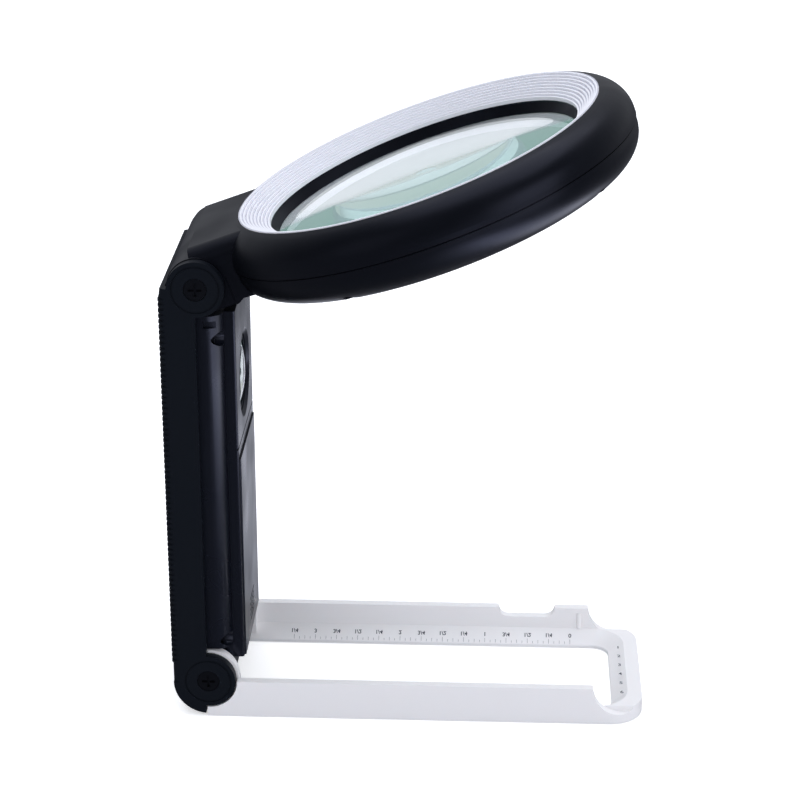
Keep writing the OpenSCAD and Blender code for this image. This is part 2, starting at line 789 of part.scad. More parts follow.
// Section across the neck, with its strongly rounded upper edges
module neck_section(g) {
    half = barrel_half - g;
    translate([-half, -12]) square([2 * half, 12 + neck_top - 4.6]);
    translate([4.6 - barrel_half, -12]) square([2 * (barrel_half - 4.6), 12 + neck_top - g]);
    for (y = [4.6 - barrel_half, barrel_half - 4.6]) translate([y, neck_top - 4.6]) circle(r = 4.6 - g);
}

// Solid body of the neck between u0 and u1
module neck_body(u0, u1, g) {
    translate([u0, 0, 0]) rotate([90, 0, 90]) linear_extrude(u1 - u0) neck_section(g);
}

module neck_hollow() {
    intersection() {
        difference() {
            neck_body(neck_start + 1.2, neck_end + 8, head_shell_t);
            at_rim() translate([0, 0, -30]) cylinder(r = inner_wall_r, h = 40);
            at_rim() rotate_extrude() over_deck(1.6, 1.5);
        }
        span([0, 30], [-30, 30], [rim_n + board_h - 1.15, 20]);
    }
}

module upper_shell() {
    color(black) in_head() difference() {
        union() {
            at_rim() rotate_extrude($fn = 180) upper_profile();
            // Hinge barrel
            y_rod(barrel_r, 0, 0, -barrel_half, barrel_half);
            // Upper half of the neck
            difference() {
                intersection() {
                    neck_body(0.8, neck_top_end, 0);
                    span([0, neck_top_end], [-30, 30], [neck_split, 20]);
                }
                translate([head_reach, 0, -5]) cylinder(r = light_ring_r + 0.1, h = 30, $fn = 180);
            }
            // Rear of the neck below the hinge
            span([0, neck_start - 0.1], [-barrel_half, barrel_half], [-barrel_r, neck_split + 1]);
            // Columns for the head screws
            at_rim() for (a = screw_angles) rotate([0, 0, a])
                translate([screw_ring_r, 0, -part_depth])
                    cylinder(r = 2.4, h = part_depth - head_shell_t - 0.4, $fn = 32);
        }
        neck_hollow();
        mirrored_y() y_rod(pin_r + pin_fit, 0, 0, barrel_half - pin_bite - 3, barrel_half + 1);
        at_rim() for (a = screw_angles) rotate([0, 0, a])
            translate([screw_ring_r, 0, -part_depth - 1]) cylinder(r = screw_r + 0.05, h = 6, $fn = 32);
    }
}

module lower_shell() {
    color(black) in_head() difference() {
        union() {
            at_rim() rotate_extrude($fn = 180) lower_profile();
            // Lower half of the neck
            difference() {
                across(-barrel_half, barrel_half) neck_foot();
                translate([head_reach, 0, -40]) cylinder(r = low_r - lower_edge_r, h = 60, $fn = 180);
            }
            at_rim() for (a = screw_angles) rotate([0, 0, a])
                translate([screw_ring_r, 0, -head_depth + 1.6])
                    cylinder(r = 2.6, h = head_depth - part_depth - 1.6, $fn = 32);
        }
        neck_hollow();
        // Room for the barrel's lower half, which belongs to the upper shell
        span([-2, neck_start], [-barrel_half - 0.1, barrel_half + 0.1], [-30, neck_split + 3]);
        at_rim() for (a = screw_angles) rotate([0, 0, a]) translate([screw_ring_r, 0, -head_depth - 1]) {
            cylinder(r = screw_r + 0.15, h = 20, $fn = 32);
            cylinder(r = screw_head_r + 0.5, h = head_screw_seat + 1.02, $fn = 32);
        }
        // Apertures over the LEDs
        at_rim() for (i = [0 : led_count - 1]) rotate([0, 0, (i + 0.5) * 360 / led_count])
            translate([led_ring_r, 0, -head_depth]) cylinder(r = 2.0, h = head_shell_t + 1, $fn = 32);
    }
}

// White ring whose face steps down toward the lens
module light_ring() {
    dr = (light_ring_r - light_ring_in) / light_ring_steps;
    dh = light_ring_depth / light_ring_steps;
    color(white) in_head() at_rim() rotate_extrude($fn = 180)
        polygon(concat(
            [for (i = [0 : light_ring_steps - 1], k = [0, 1]) [light_ring_r - (i + k) * dr, -i * dh]],
            [[light_ring_in, -light_ring_depth], [light_ring_in, -light_ring_depth - light_ring_edge],
                [light_ring_r, -light_ring_t]]));
}

module main_lens() {
    color(clear) in_head() at_rim() translate([0, 0, lens_low])
        rotate_extrude($fn = 128) lens_half(lens_r, lens_edge, lens_sag);
}

// White liner of the bore below the lens, whose lip leans away from the lens's face
module bore_liner() {
    color(white) in_head() at_rim() rotate_extrude($fn = 128)
        polygon([[lens_clear, 0.1 - head_depth], [liner_r, 0.1 - head_depth], [liner_r, lens_face - 0.1],
            [lens_clear, lens_face - 0.25]]);
}

module led_board() {
    color("#e8e6df") in_head() at_rim() difference() {
        translate([0, 0, board_h - 1]) cylinder(r = cavity_r - 2.4, h = 1);
        translate([0, 0, board_h - 2]) cylinder(r = inner_wall_r + 0.2, h = 3);
        for (a = screw_angles) rotate([0, 0, a])
            translate([screw_ring_r, 0, board_h - 2]) cylinder(r = 2.8, h = 3, $fn = 32);
    }
}

module leds() {
    color("#f2e6a8") in_head() at_rim() for (i = [0 : led_count - 1]) rotate([0, 0, (i + 0.5) * 360 / led_count])
        translate([led_ring_r, 0, board_h - 1]) {
            translate([-1.2, -1.75, -1.2]) cube([2.4, 3.5, 1.2]);
            translate([0, 0, -1.8]) cylinder(r1 = 0.8, r2 = 1.2, h = 0.6, $fn = 32);
        }
}

module led_window() {
    color(clear) in_head() at_rim() difference() {
        translate([0, 0, -head_depth]) cylinder(r = window_out, h = window_t);
        translate([0, 0, -head_depth - 1]) cylinder(r = window_in, h = window_t + 2);
    }
}

module head_screws() {
    color(steel) in_head() at_rim() for (a = screw_angles) rotate([0, 0, a])
        translate([screw_ring_r, 0, -head_depth + head_screw_seat - screw_head_h]) rotate([180, 0, 0])
            screw(screw_head_r, screw_head_h, screw_r, screw_len);
}

base_frame();
rear_shell();
front_shell();
battery_door();
small_lens();
small_lens_ring();
battery_cells();
cell_springs();
cell_contacts();
switch_knob();
switch_body();
handle_screws();
base_hinge_screws();
head_hinge_screws();
hinge_washers();
upper_shell();
lower_shell();
light_ring();
main_lens();
bore_liner();
led_board();
leds();
led_window();
head_screws();
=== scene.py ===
"""Looks, camera and stage of a folding illuminated hand lens.

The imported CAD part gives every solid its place. This script finishes the surfaces, prints the ruler
on the frame, and sets the light and the camera. Places are in the part's frame, with Z up and X from
the handle towards the crossbar. Lengths are metres, except where a name or a docstring says mm.
"""

import json
import logging
import math
from dataclasses import dataclass, field
from enum import Enum

import bpy
from mathutils import Matrix, Vector

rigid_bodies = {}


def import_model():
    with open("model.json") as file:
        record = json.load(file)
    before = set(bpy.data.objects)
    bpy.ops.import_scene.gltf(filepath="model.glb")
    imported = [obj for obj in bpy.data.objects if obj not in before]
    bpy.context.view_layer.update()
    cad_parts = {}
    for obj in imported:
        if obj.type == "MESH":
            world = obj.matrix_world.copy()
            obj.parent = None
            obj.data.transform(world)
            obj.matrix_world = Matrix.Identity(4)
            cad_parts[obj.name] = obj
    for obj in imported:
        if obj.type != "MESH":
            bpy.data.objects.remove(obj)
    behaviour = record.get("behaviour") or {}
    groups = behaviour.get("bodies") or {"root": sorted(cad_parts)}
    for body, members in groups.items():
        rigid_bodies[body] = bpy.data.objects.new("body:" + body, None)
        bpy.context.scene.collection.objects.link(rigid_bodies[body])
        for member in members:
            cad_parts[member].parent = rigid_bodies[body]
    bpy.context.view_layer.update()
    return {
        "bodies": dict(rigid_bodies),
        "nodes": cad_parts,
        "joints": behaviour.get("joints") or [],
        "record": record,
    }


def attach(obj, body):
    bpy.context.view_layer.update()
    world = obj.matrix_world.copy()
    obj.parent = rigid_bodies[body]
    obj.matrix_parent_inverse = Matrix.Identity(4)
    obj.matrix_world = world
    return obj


MM = 0.001
LOG = logging.getLogger("hand_lens")


def linear(hex_colour: str) -> tuple[float, float, float, float]:
    """Turns an sRGB hex colour into the linear values that shaders take.

    Args:
        hex_colour: A colour such as "#e4e4f0".

    Returns:
        Red, green, blue and alpha, linear, with alpha 1.
    """
    digits = hex_colour.lstrip("#")
    channels = [int(digits[i : i + 2], 16) / 255 for i in (0, 2, 4)]
    lin = [c / 12.92 if c <= 0.04045 else ((c + 0.055) / 1.055) ** 2.4 for c in channels]
    return (lin[0], lin[1], lin[2], 1.0)


class Body(Enum):
    """The rigid bodies that printed pieces ride on."""

    BASE = "base"


class Tick(Enum):
    """How long the ruler's ticks are, in mm."""

    QUARTER = 1.5
    EIGHTH = 1.1
    SIXTEENTH = 0.8

    @classmethod
    def at(cls, sixteenths: int) -> "Tick":
        """Picks the tick for a place on the ruler.

        Args:
            sixteenths: The place, counted from zero.

        Returns:
            The tick that stands there.
        """
        if sixteenths % 4 == 0:
            return cls.QUARTER
        return cls.EIGHTH if sixteenths % 2 == 0 else cls.SIXTEENTH


# ---- Shader graph help ----


class Graph:
    """A small wrapper that adds shader nodes to one material's tree."""

    def __init__(self, tree: bpy.types.NodeTree) -> None:
        """Starts from an empty tree.

        Args:
            tree: The node tree to build in.
        """
        self.tree = tree
        tree.nodes.clear()

    def add(self, kind: str, settings: dict | None = None, **inputs: object) -> bpy.types.Node:
        """Adds a node with its settings and links.

        Args:
            kind: The node's type name.
            settings: Attributes to set on the node itself.
            **inputs: Socket values, or output sockets to link, by socket name with spaces as "_".

        Returns:
            The new node.
        """
        node = self.tree.nodes.new(kind)
        for name, value in (settings or {}).items():
            setattr(node, name, value)
        for name, value in inputs.items():
            socket = self.socket(node, name)
            if isinstance(value, bpy.types.NodeSocket):
                self.tree.links.new(value, socket)
            else:
                socket.default_value = value
        return node

    @staticmethod
    def socket(node: bpy.types.Node, name: str) -> bpy.types.NodeSocket:
        """Finds an input by name, or by number where the name is "in0", "in1" and so on.

        Args:
            node: The node that has the input.
            name: The input's name with spaces as "_".

        Returns:
            The input socket.
        """
        if name.startswith("in") and name[2:].isdigit():
            return node.inputs[int(name[2:])]
        return node.inputs[name.replace("_", " ")]


@dataclass(frozen=True)
class Finish:
    """What every finish has: a name for the real material and how it was made."""

    name: str

    def new(self) -> tuple[bpy.types.Material, Graph]:
        """Makes the empty material.

        Returns:
            The material and the graph to fill.
        """
        material = bpy.data.materials.new(self.name)
        material.use_nodes = True
        return material, Graph(material.node_tree)


@dataclass(frozen=True)
class MouldedPlastic(Finish):
    """Injection-moulded plastic with the fine spark grain of its mould and slight sink ripple.

    Attributes:
        colour: The pigment.
        roughness: The mean roughness of the surface.
        spread: How far the ripple moves the roughness up and down.
        grain_mm: The size of the spark grain, coarser than the real one so that it shows.
        grain_depth: How strongly the grain shows.
        grain_relief_mm: The height of the grain.
        ripple_mm: The size of the sink ripple.
        ripple_depth: How strongly the ripple shows.
        ripple_relief_mm: The height of the ripple.
        noise_band: Where most values of a noise texture lie.
        specular: The level of the gloss.
        tint: The colour of the gloss.
        subsurface: How much light the plastic lets in.
        bleed_mm: How far red, green and blue travel inside.
    """

    colour: str = "#090b11"
    roughness: float = 0.38
    spread: float = 0.05
    grain_mm: float = 0.25
    grain_depth: float = 0.10
    grain_relief_mm: float = 0.02
    ripple_mm: float = 14.0
    ripple_depth: float = 0.04
    ripple_relief_mm: float = 0.4
    noise_band: tuple[float, float] = (0.3, 0.7)
    specular: float = 0.11
    tint: str = "#f1f3ff"
    subsurface: float = 0.0
    bleed_mm: tuple[float, float, float] = (1.2, 1.0, 0.9)

    def paint(self, g: Graph, place: bpy.types.NodeSocket) -> tuple | bpy.types.NodeSocket:
        """Gives the pigment: one colour all over.

        Args:
            g: The material's graph; not used here.
            place: The coordinates to read; not used here.

        Returns:
            A colour, or the socket of one.
        """
        return linear(self.colour)

    def relief(self, g: Graph, place: bpy.types.NodeSocket) -> bpy.types.NodeSocket | None:
        """Gives the form under the grain: none.

        Args:
            g: The material's graph; not used here.
            place: The coordinates to read; not used here.

        Returns:
            The socket of a normal, or nothing.
        """
        return None

    def build(self) -> bpy.types.Material:
        """Builds the plastic.

        Returns:
            The material.
        """
        material, g = self.new()
        place = g.add("ShaderNodeTexCoord").outputs["Object"]
        grain = g.add(
            "ShaderNodeTexNoise", Vector=place, Scale=1 / (self.grain_mm * MM), Detail=2.0, Roughness=0.5
        ).outputs["Fac"]
        ripple = g.add(
            "ShaderNodeTexNoise", Vector=place, Scale=1 / (self.ripple_mm * MM), Detail=1.0
        ).outputs["Fac"]
        low = g.add(
            "ShaderNodeBump", Strength=self.ripple_depth, Distance=self.ripple_relief_mm * MM, Height=ripple
        )
        form = self.relief(g, place)
        if form:
            g.tree.links.new(form, low.inputs["Normal"])
        high = g.add(
            "ShaderNodeBump", Strength=self.grain_depth, Distance=self.grain_relief_mm * MM, Height=grain,
            Normal=low.outputs["Normal"],
        )
        rough = g.add(
            "ShaderNodeMapRange", Value=ripple, From_Min=self.noise_band[0], From_Max=self.noise_band[1],
            To_Min=self.roughness - self.spread, To_Max=self.roughness + self.spread,
        ).outputs["Result"]
        shader = g.add(
            "ShaderNodeBsdfPrincipled", Base_Color=self.paint(g, place), Roughness=rough,
            Specular_IOR_Level=self.specular, Specular_Tint=linear(self.tint),
            Subsurface_Weight=self.subsurface, Subsurface_Scale=1.0,
            Subsurface_Radius=tuple(v * MM for v in self.bleed_mm), Normal=high.outputs["Normal"],
        )
        g.add("ShaderNodeOutputMaterial", Surface=shader.outputs["BSDF"])
        return material


@dataclass(frozen=True)
class CrownedPlastic(MouldedPlastic):
    """Moulded plastic whose flat side walls round off slowly towards +X, up to the door's step.

    Attributes:
        start_mm: The X at which the wall starts to turn.
        width_mm: How wide the turning part is.
        turn_per_mm: How much the slope grows with each millimetre.
    """

    start_mm: float = -55.0
    width_mm: float = 5.6
    turn_per_mm: float = 0.08

    def relief(self, g: Graph, place: bpy.types.NodeSocket) -> bpy.types.NodeSocket | None:
        """Lowers the wall by the square of the way past the start.

        Args:
            g: The material's graph.
            place: The coordinates to read.

        Returns:
            The socket of the crowned normal.
        """
        x = g.add("ShaderNodeSeparateXYZ", Vector=place).outputs["X"]
        past = g.add("ShaderNodeMath", {"operation": "SUBTRACT"}, in0=x, in1=self.start_mm * MM)
        past = g.add("ShaderNodeClamp", Value=past.outputs["Value"], Min=0.0, Max=self.width_mm * MM)
        past = past.outputs["Result"]
        square = g.add("ShaderNodeMath", {"operation": "MULTIPLY"}, in0=past, in1=past)
        fall = g.add(
            "ShaderNodeMath", {"operation": "MULTIPLY"}, in0=square.outputs["Value"],
            in1=-0.5 * self.turn_per_mm / MM,
        )
        bump = g.add("ShaderNodeBump", Strength=1.0, Distance=1.0, Height=fall.outputs["Value"])
        return bump.outputs["Normal"]


@dataclass(frozen=True)
class SteppedPlastic(MouldedPlastic):
    """Moulded plastic in rings of small steps, with painted shade in the foot of each step.

    Attributes:
        foot: The colour of the painted shade in the foot of a step.
        middle_mm: The middle of the rings.
        axis: The direction that the rings lie square to.
        outer_mm: Where the outermost step starts, from the middle.
        step_mm: How wide each step is.
        fade: Where the painted shade starts and stops to fade, as parts of a step.
    """

    foot: str = "#c0c0ca"
    middle_mm: tuple[float, float, float] = (1.4425, 0.0, 158.525)
    axis: tuple[float, float, float] = (-0.3453, 0.0, 0.9385)
    outer_mm: float = 51.07
    step_mm: float = 0.8111
    fade: tuple[float, float] = (0.30, 0.5)

    def paint(self, g: Graph, place: bpy.types.NodeSocket) -> tuple | bpy.types.NodeSocket:
        """Paints shade on the outer part of every step's tread.

        Args:
            g: The material's graph.
            place: The coordinates to read.

        Returns:
            The socket of the colour.
        """
        middle = tuple(v * MM for v in self.middle_mm)
        arm = g.add("ShaderNodeVectorMath", {"operation": "SUBTRACT"}, in0=place, in1=middle)
        arm = g.add(
            "ShaderNodeVectorMath", {"operation": "CROSS_PRODUCT"}, in0=arm.outputs["Vector"], in1=self.axis
        )
        reach = g.add("ShaderNodeVectorMath", {"operation": "LENGTH"}, in0=arm.outputs["Vector"])
        inward = g.add(
            "ShaderNodeMath", {"operation": "SUBTRACT"}, in0=self.outer_mm * MM, in1=reach.outputs["Value"]
        )
        steps = g.add(
            "ShaderNodeMath", {"operation": "DIVIDE"}, in0=inward.outputs["Value"], in1=self.step_mm * MM
        )
        part = g.add("ShaderNodeMath", {"operation": "FRACT"}, in0=steps.outputs["Value"])
        # Painted shade: the outer part of each tread fades to the grey of the foot
        shade = g.add(
            "ShaderNodeMapRange", Value=part.outputs["Value"], From_Min=self.fade[0], From_Max=self.fade[1],
            To_Min=1.0, To_Max=0.0,
        )
        # A mix of colours takes them in sockets 6 and 7 and gives its result in 2
        return g.add(
            "ShaderNodeMix", {"data_type": "RGBA"}, Factor=shade.outputs["Result"], in6=linear(self.colour),
            in7=linear(self.foot),
        ).outputs[2]


@dataclass(frozen=True)
class PolishedGlass(Finish):
    """Glass, ground and polished, with the green of its iron, or a clear plastic with another tint.

    Light that bounces inside for long is shown as a painted pale glow, and lamps shine through unbent.

    Attributes:
        tint: The colour that is left after depth_mm of glass.
        depth_mm: The depth that the tint is given for.
        ior: How strongly the glass bends light.
        roughness: The roughness of the surface.
        trapped: The colour of the painted glow that stands in for light caught inside.
        glow: The strength of that painted glow.
        bounces: After how many bounces light counts as caught.
        shadow: What is left of a lamp's light behind the glass.
    """

    tint: str = "#e7f4f2"
    depth_mm: float = 24.0
    ior: float = 1.52
    roughness: float = 0.0
    trapped: str = "#d0e1df"
    glow: float = 0.8
    bounces: float = 5.5
    shadow: tuple[float, float, float, float] = (0.93, 0.95, 0.94, 1.0)

    def build(self) -> bpy.types.Material:
        """Builds the glass.

        Returns:
            The material.
        """
        material, g = self.new()
        shader = g.add(
            "ShaderNodeBsdfPrincipled", Base_Color=(1, 1, 1, 1), Roughness=self.roughness, IOR=self.ior,
            Transmission_Weight=1.0,
        )
        body = g.add(
            "ShaderNodeVolumeAbsorption", Color=linear(self.tint), Density=1 / (self.depth_mm * MM)
        )
        path = g.add("ShaderNodeLightPath")
        through = g.add("ShaderNodeBsdfTransparent", Color=self.shadow)
        mix = g.add(
            "ShaderNodeMixShader", in0=path.outputs["Is Shadow Ray"], in1=shader.outputs["BSDF"],
            in2=through.outputs["BSDF"],
        )
        # Painted glow: light that has bounced inside for long shows as a pale emission
        deep = g.add(
            "ShaderNodeMath", {"operation": "GREATER_THAN"}, in0=path.outputs["Ray Depth"], in1=self.bounces
        )
        trapped = g.add("ShaderNodeEmission", Color=linear(self.trapped), Strength=self.glow)
        mix = g.add(
            "ShaderNodeMixShader", in0=deep.outputs["Value"], in1=mix.outputs["Shader"],
            in2=trapped.outputs["Emission"],
        )
        g.add("ShaderNodeOutputMaterial", Surface=mix.outputs["Shader"], Volume=body.outputs["Volume"])
        return material


@dataclass(frozen=True)
class PlatedSteel(Finish):
    """Steel with a thin plated or oxidised skin, turned or stamped.

    Attributes:
        colour: The colour of the skin.
        roughness: The mean roughness.
        spread: How far wear moves the roughness up and down.
        wear_mm: The size of the worn patches.
    """

    colour: str = "#b9b8b2"
    roughness: float = 0.28
    spread: float = 0.08
    wear_mm: float = 0.8

    def build(self) -> bpy.types.Material:
        """Builds the metal.

        Returns:
            The material.
        """
        material, g = self.new()
        place = g.add("ShaderNodeTexCoord").outputs["Object"]
        wear = g.add(
            "ShaderNodeTexNoise", Vector=place, Scale=1 / (self.wear_mm * MM), Detail=4.0
        ).outputs["Fac"]
        rough = g.add(
            "ShaderNodeMapRange", Value=wear, To_Min=self.roughness - self.spread,
            To_Max=self.roughness + self.spread,
        ).outputs["Result"]
        shader = g.add(
            "ShaderNodeBsdfPrincipled", Base_Color=linear(self.colour), Metallic=1.0, Roughness=rough
        )
        g.add("ShaderNodeOutputMaterial", Surface=shader.outputs["BSDF"])
        return material


@dataclass(frozen=True)
class FlatInk(Finish):
    """Pad-printed ink."""

    colour: str = "#44454f"
    roughness: float = 0.5

    def build(self) -> bpy.types.Material:
        """Builds the ink.

        Returns:
            The material.
        """
        material, g = self.new()
        shader = g.add(
            "ShaderNodeBsdfPrincipled", Base_Color=linear(self.colour), Roughness=self.roughness
        )
        g.add("ShaderNodeOutputMaterial", Surface=shader.outputs["BSDF"])
        return material


class Finishes:
    """Every finish on the instrument, built once."""

    def __init__(self) -> None:
        """Builds the materials."""
        # Handle's rear shell and its small parts: black ABS off a spark-eroded mould. A fine grain under
        # a weak, wide sheen
        self.black_abs = MouldedPlastic("abs_black_spark_textured", colour="#12161c").build()
        # Handle's front: black ABS off a semi-gloss mould. Soft streaks of light along the edges
        self.gloss_abs = CrownedPlastic(
            "abs_black_semi_gloss_mould", colour="#0f121a", roughness=0.30, specular=0.34, tint="#e2e6ff",
            grain_depth=0.05,
        ).build()
        # Head housings: black ABS off a matt mould. Broad highlights without a clear edge
        self.matt_abs = MouldedPlastic(
            "abs_black_matt_mould", colour="#0a0c11", roughness=0.36, specular=0.25, tint="#dce1ff"
        ).build()
        # Frame: white ABS off a polished mould. Bright and even, with light that sinks in a little
        self.white_abs = MouldedPlastic(
            "abs_white_polished_mould", colour="#f2f0ef", specular=0.5, roughness=0.34, spread=0.03,
            grain_depth=0.03, ripple_depth=0.02, subsurface=0.15,
        ).build()
        # Bore liner: white ABS off a satin mould. Soft white that mirrors nothing
        self.satin_abs = MouldedPlastic(
            "abs_white_satin_mould", colour="#e7e7ea", specular=0.4, roughness=0.45, grain_depth=0.03,
            subsurface=0.1,
        ).build()
        # Light ring: white ABS off a mould turned in fine steps. Thin rings of painted grey shade on soft
        # white
        self.stepped_abs = SteppedPlastic(
            "abs_white_turned_mould", colour="#f1f1f5", specular=0.4, roughness=0.45, grain_depth=0.03,
            ripple_depth=0.01, subsurface=0.1,
        ).build()
        # Both lenses: soda-lime glass, ground and polished. Clear, and green where it is deep, with a
        # painted pale glow where light bounces inside for long
        self.glass = PolishedGlass("soda_lime_glass_polished").build()
        # LED window: moulded acrylic. Clear with a slight haze
        self.acrylic = PolishedGlass(
            "acrylic_clear_moulded", tint="#f4f6f6", depth_mm=60.0, ior=1.49, roughness=0.08
        ).build()
        # Head screws, washers, springs, contacts and switch: nickel-plated steel. A pale warm shine
        self.steel = PlatedSteel("steel_nickel_plated").build()
        # Handle and hinge screws: steel with black oxide. Dark, with a low metal sheen
        self.black_steel = PlatedSteel("steel_black_oxide", colour="#2e3036", roughness=0.45).build()
        # Cell jackets: printed shrink film. Smooth glossy green
        self.jacket = MouldedPlastic("film_shrunk_green", colour="#2f6b4f", roughness=0.25).build()
        # LED board: fibreglass under white solder mask. Smooth dull white
        self.board = MouldedPlastic("fibreglass_white_mask", colour="#e2e2dc", roughness=0.4).build()
        # LEDs: moulded body with phosphor fill. A yellow face
        self.led = MouldedPlastic("led_phosphor_moulded", colour="#f0dc8a", roughness=0.3).build()
        # Ruler: pad-printed ink. Flat dark grey
        self.ink = FlatInk("ink_grey_pad_printed").build()


# ---- Sub-assemblies ----


@dataclass
class CadGroup:
    """A set of CAD nodes that take one finish, shaded smooth up to the crease angle."""

    material: bpy.types.Material
    nodes: tuple[str, ...]
    crease_deg: float = 30.0

    def build(self, frame: dict) -> None:
        """Gives the nodes their finish.
        """
        for name in self.nodes:
            mesh = frame["nodes"][name].data
            mesh.materials.clear()
            mesh.materials.append(self.material)
            mesh.shade_smooth()
            mesh.set_sharp_from_angle(angle=math.radians(self.crease_deg))
            LOG.info("finished %s", name)


@dataclass
class Ruler:
    """The ruler printed along the frame's far flange and across its crossbar, all in mm.

    Attributes:
        ink: What it is printed with.
        hinge_x: The X of the base hinge, which the places along the frame count from.
        zero_x: The ruler's zero, from the hinge.
        pitch: A sixteenth of an inch.
        length: How many sixteenths there are.
        inner_y, edge_z: The flange's inner edge.
        wall_y, root_z: The flange's root at the wall.
        lift: How far the ink stands off the plastic.
        line: The width of a tick.
        foot: Where the ticks start, from the flange's edge.
        row: Where the middle of the figures lies, from the flange's edge.
        figure_size: The height of the ruler's figures.
        em: The size of the type for each mm of a figure's height.
        weight: What each side of a stroke gains.
        cross_x, cross_y: The first figure on the crossbar, cross_x from the hinge.
        cross_step: The way to the next of them.
        cross_count: How many there are.
        cross_size: Their height.
        quarters: What is printed at a part of an inch, by sixteenths.
    """

    ink: bpy.types.Material
    hinge_x: float = -55.825
    zero_x: float = 102.58
    pitch: float = 25.4 / 16
    length: int = 52
    inner_y: float = 19.3
    wall_y: float = 23.7
    edge_z: float = 0.9
    root_z: float = 4.3
    lift: float = 0.03
    line: float = 0.08
    foot: float = 0.25
    row: float = 3.05
    figure_size: float = 1.25
    em: float = 1.4
    weight: float = 0.04
    cross_x: float = 116.5
    cross_y: float = 11.7
    cross_step: float = 5.44
    cross_count: int = 6
    cross_size: float = 1.5
    quarters: dict[int, str] = field(default_factory=lambda: {4: "1/4", 8: "1/2", 12: "3/4"})

    def slope(self) -> Matrix:
        """Finds the plane of the sloping flange.

        Returns:
            A left-handed matrix: X runs along the ruler from zero, Y up the slope, Z out of the plastic.
        """
        up = Vector((0, self.wall_y - self.inner_y, self.root_z - self.edge_z)).normalized()
        along = Vector((-1, 0, 0))
        out = along.cross(-up)
        if out.z < 0:
            out = -out
        origin = Vector((self.hinge_x + self.zero_x, self.inner_y, self.edge_z)) * MM + out * self.lift * MM
        rot = Matrix((along, up, out)).transposed().to_4x4()
        return Matrix.Translation(origin) @ rot

    def stroke(self, quads: list, x: float, y0: float, y1: float) -> None:
        """Adds one tick.

        Args:
            quads: The list of quads to add to, each four (x, y) corners in mm.
            x: The tick's place.
            y0: Where it starts.
            y1: Where it ends.
        """
        h = self.line / 2
        quads.append([(x - h, y0), (x + h, y0), (x + h, y1), (x - h, y1)])

    def mesh(self, name: str, quads: list, place: Matrix) -> bpy.types.Object:
        """Makes one object from quads.

        Args:
            name: The object's name.
            quads: Four-cornered patches in mm.
            place: Where the plane of the print lies.

        Returns:
            The object.
        """
        verts = [place @ Vector((x * MM, y * MM, 0)) for quad in quads for x, y in quad]
        faces = [tuple(range(4 * i, 4 * i + 4)) for i in range(len(quads))]
        data = bpy.data.meshes.new(name)
        data.from_pydata(verts, [], faces)
        data.materials.append(self.ink)
        obj = bpy.data.objects.new(name, data)
        bpy.context.scene.collection.objects.link(obj)
        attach(obj, Body.BASE.value)
        return obj

    def figure(self, name: str, text: str, size: float, place: Matrix) -> bpy.types.Object:
        """Prints one number.

        Args:
            name: The object's name.
            text: The figures.
            size: Their height in mm.
            place: The number's middle and direction.

        Returns:
            The object.
        """
        curve = bpy.data.curves.new(name, "FONT")
        curve.body = text
        curve.size = size * self.em * MM
        curve.offset = self.weight * MM
        curve.align_x = "CENTER"
        curve.align_y = "CENTER"
        curve.materials.append(self.ink)
        obj = bpy.data.objects.new(name, curve)
        obj.matrix_world = place
        bpy.context.scene.collection.objects.link(obj)
        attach(obj, Body.BASE.value)
        return obj

    def build(self) -> None:
        """Prints the ticks and the figures."""
        place = self.slope()
        quads: list = []
        for i in range(self.length + 1):
            self.stroke(quads, i * self.pitch, self.foot, self.foot + Tick.at(i).value)
        self.mesh("ruler_ticks", quads, place)
        # Half a turn points the figures' tops at the flange's edge. Since the plane is left-handed,
        # they come out mirrored
        turn = Matrix.Rotation(math.pi, 4, "Z")
        for i in range(0, self.length + 1, 4):
            whole, part = divmod(i, 16)
            text = str(whole) if part == 0 else self.quarters[part]
            at = place @ Matrix.Translation(Vector((i * self.pitch, self.row, 0)) * MM) @ turn
            self.figure(f"ruler_figure_{i}", text, self.figure_size, at)
        for i in range(self.cross_count):
            y = self.cross_y - i * self.cross_step
            at = Matrix.Translation(Vector((self.hinge_x + self.cross_x, y, self.root_z + self.lift)) * MM)
            self.figure(f"crossbar_figure_{i}", str(i + 1), self.cross_size, at)
        LOG.info("printed the ruler")


@dataclass(frozen=True)
class PaleArea:
    """A patch of the floor painted to glow for gloss alone, as a pale board laid there would look: a
    painted reflection.

    Attributes:
        middle: Its middle.
        squeeze: How many times narrower it is along each axis than its reach.
        reach: The distance at which it has faded out.
        core: The part of the reach that has the full strength.
        strength: How bright it is.
    """

    middle: tuple[float, float, float]
    squeeze: tuple[float, float, float]
    reach: float
    strength: float
    core: float = 0.5

    def shade(self, g: Graph, place: bpy.types.NodeSocket, rest: float) -> bpy.types.NodeSocket:
        """Adds the area's brightness to a graph.

        Args:
            g: The floor's graph.
            place: The coordinates to read.
            rest: How bright the floor is away from the area.

        Returns:
            The socket of the brightness.
        """
        at = g.add(
            "ShaderNodeVectorMath", {"operation": "SUBTRACT"}, in0=place, in1=self.middle
        ).outputs["Vector"]
        at = g.add(
            "ShaderNodeVectorMath", {"operation": "MULTIPLY"}, in0=at, in1=self.squeeze
        ).outputs["Vector"]
        away = g.add("ShaderNodeVectorMath", {"operation": "LENGTH"}, in0=at).outputs["Value"]
        return g.add(
            "ShaderNodeMapRange", {"interpolation_type": "SMOOTHSTEP"}, Value=away,
            From_Min=self.core * self.reach, From_Max=self.reach, To_Min=self.strength, To_Max=rest,
        ).outputs["Result"]


